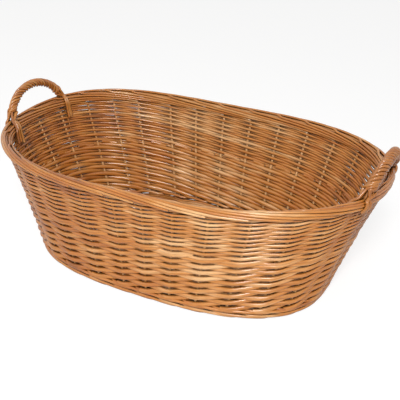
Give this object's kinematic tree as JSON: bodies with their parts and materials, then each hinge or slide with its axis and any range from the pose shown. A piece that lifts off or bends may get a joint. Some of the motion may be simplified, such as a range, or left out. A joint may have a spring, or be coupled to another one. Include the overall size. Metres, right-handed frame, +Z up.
{
  "type": "oval laundry basket",
  "caption": "Shallow oval basket of buff willow with a rolled border and two roped end handles",
  "frame": {"origin": "middle of the outline at floor level, on the flats that the foot wale stands on", "axes": "+X along the basket towards the right handle, +Y across it away from the viewer, +Z up"},
  "size_m": [0.666, 0.435, 0.2599],
  "materials": {
    "base_weave_willow": "varnished buff willow, satin",
    "stakes_willow": "varnished buff willow, satin",
    "wale_willow": "varnished buff willow, satin",
    "lower_siding_willow": "varnished buff willow, satin",
    "upper_siding_willow": "varnished buff willow, satin",
    "bow_willow": "varnished buff willow, satin",
    "strand_willow": "varnished buff willow, satin"
  },
  "bodies": {
    "root": {"base_band_1": "base_weave_willow", "base_band_2": "base_weave_willow", "base_band_3": "base_weave_willow", "base_band_4": "base_weave_willow", "cross_stick_1_with_stakes": "stakes_willow", "cross_stick_2_with_stakes": "stakes_willow", "cross_stick_3_with_stakes": "stakes_willow", "cross_stick_4_with_stakes": "stakes_willow", "cross_stick_5_with_stakes": "stakes_willow", "cross_stick_6_with_stakes": "stakes_willow", "foot_wale_rod_1": "wale_willow", "foot_wale_rod_2": "wale_willow", "foot_wale_rod_3": "wale_willow", "left_handle_bow": "bow_willow", "left_handle_strand_1": "strand_willow", "left_handle_strand_2": "strand_willow", "left_handle_strand_3": "strand_willow", "left_handle_wrap_1": "strand_willow", "left_handle_wrap_2": "strand_willow", "left_handle_wrap_3": "strand_willow", "left_handle_wrap_4": "strand_willow", "long_stick_1_with_stakes": "stakes_willow", "long_stick_2_with_stakes": "stakes_willow", "long_stick_3_with_stakes": "stakes_willow", "lower_siding_rod_01": "lower_siding_willow", "lower_siding_rod_02": "lower_siding_willow", "lower_siding_rod_03": "lower_siding_willow", "lower_siding_rod_04": "lower_siding_willow", "lower_siding_rod_05": "lower_siding_willow", "lower_siding_rod_06": "lower_siding_willow", "lower_siding_rod_07": "lower_siding_willow", "lower_siding_rod_08": "lower_siding_willow", "lower_siding_rod_09": "lower_siding_willow", "lower_siding_rod_10": "lower_siding_willow", "right_handle_bow": "bow_willow", "right_handle_strand_1": "strand_willow", "right_handle_strand_2": "strand_willow", "right_handle_strand_3": "strand_willow", "right_handle_wrap_1": "strand_willow", "right_handle_wrap_2": "strand_willow", "right_handle_wrap_3": "strand_willow", "right_handle_wrap_4": "strand_willow", "upper_siding_rod_01": "upper_siding_willow", "upper_siding_rod_02": "upper_siding_willow", "upper_siding_rod_03": "upper_siding_willow", "upper_siding_rod_04": "upper_siding_willow", "upper_siding_rod_05": "upper_siding_willow", "upper_siding_rod_06": "upper_siding_willow", "upper_siding_rod_07": "upper_siding_willow", "upper_siding_rod_08": "upper_siding_willow", "upper_siding_rod_09": "upper_siding_willow", "upper_siding_rod_10": "upper_siding_willow"}
  },
  "joints": []
}
